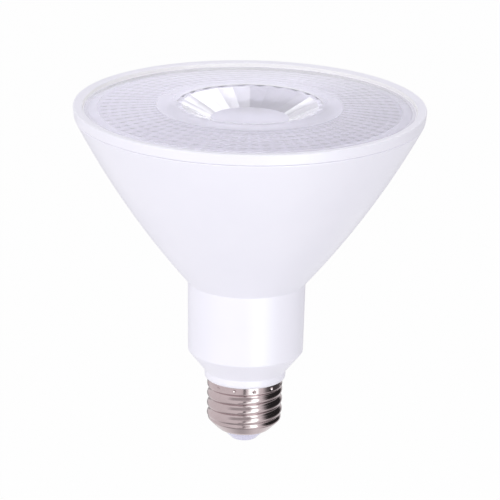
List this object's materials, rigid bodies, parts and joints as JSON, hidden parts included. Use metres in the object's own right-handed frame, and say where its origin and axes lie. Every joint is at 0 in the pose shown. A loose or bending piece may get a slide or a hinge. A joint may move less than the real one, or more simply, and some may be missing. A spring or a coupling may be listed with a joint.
{
  "type": "par spotlight bulb",
  "caption": "White conical spotlight bulb with a dimpled clear lens, a faceted centre well, a slim neck and a threaded screw base that carries it in a lampholder.",
  "frame": {"origin": "tip of the centre contact, on the lamp's axis", "axes": "+Z along the lamp's axis from the screw base to the lens, X and Y across it"},
  "size_m": [0.1209, 0.1208, 0.1214],
  "materials": {
    "white_plastic": "satin white moulding",
    "clear_plastic": "clear polished moulding",
    "nickel_plate": "bright nickel plate",
    "contact_metal": "plated contact",
    "silicone": "soft translucent seal",
    "reflector_white": "gloss white",
    "sheet_aluminium": "stamped sheet",
    "pad_grey": "soft pad",
    "board_white": "white solder mask on aluminium",
    "phosphor": "yellow phosphor window",
    "steel": "zinc plated",
    "board_green": "green solder mask",
    "ferrite": "dark ferrite",
    "winding_tape": "yellow tape over copper",
    "sleeve_black": "shrink sleeve",
    "film_red": "dipped coating",
    "varistor_blue": "dipped coating",
    "moulded_black": "moulded package",
    "resistor_body": "coated ceramic",
    "tinned_copper": "tinned",
    "wire_sleeve": "white insulation"
  },
  "bodies": {
    "root": {"housing": "white_plastic", "bezel_ring": "white_plastic", "lens_seal": "silicone", "front_lens": "clear_plastic", "heat_sink": "sheet_aluminium", "thermal_pad": "pad_grey", "led_board": "board_white", "led_packages": "phosphor", "board_screws": "steel", "reflector": "reflector_white", "driver_board": "board_green", "transformer_core": "ferrite", "transformer_winding": "winding_tape", "electrolytic_capacitor": "sleeve_black", "film_capacitor": "film_red", "bridge_rectifier": "moulded_black", "driver_chip": "moulded_black", "input_choke": "ferrite", "varistor": "varistor_blue", "led_lead_positive": "tinned_copper", "led_lead_negative": "tinned_copper", "screw_shell": "nickel_plate", "base_insulator": "white_plastic", "contact_button": "contact_metal", "fuse_resistor": "resistor_body", "neutral_wire": "wire_sleeve"}
  },
  "joints": []
}
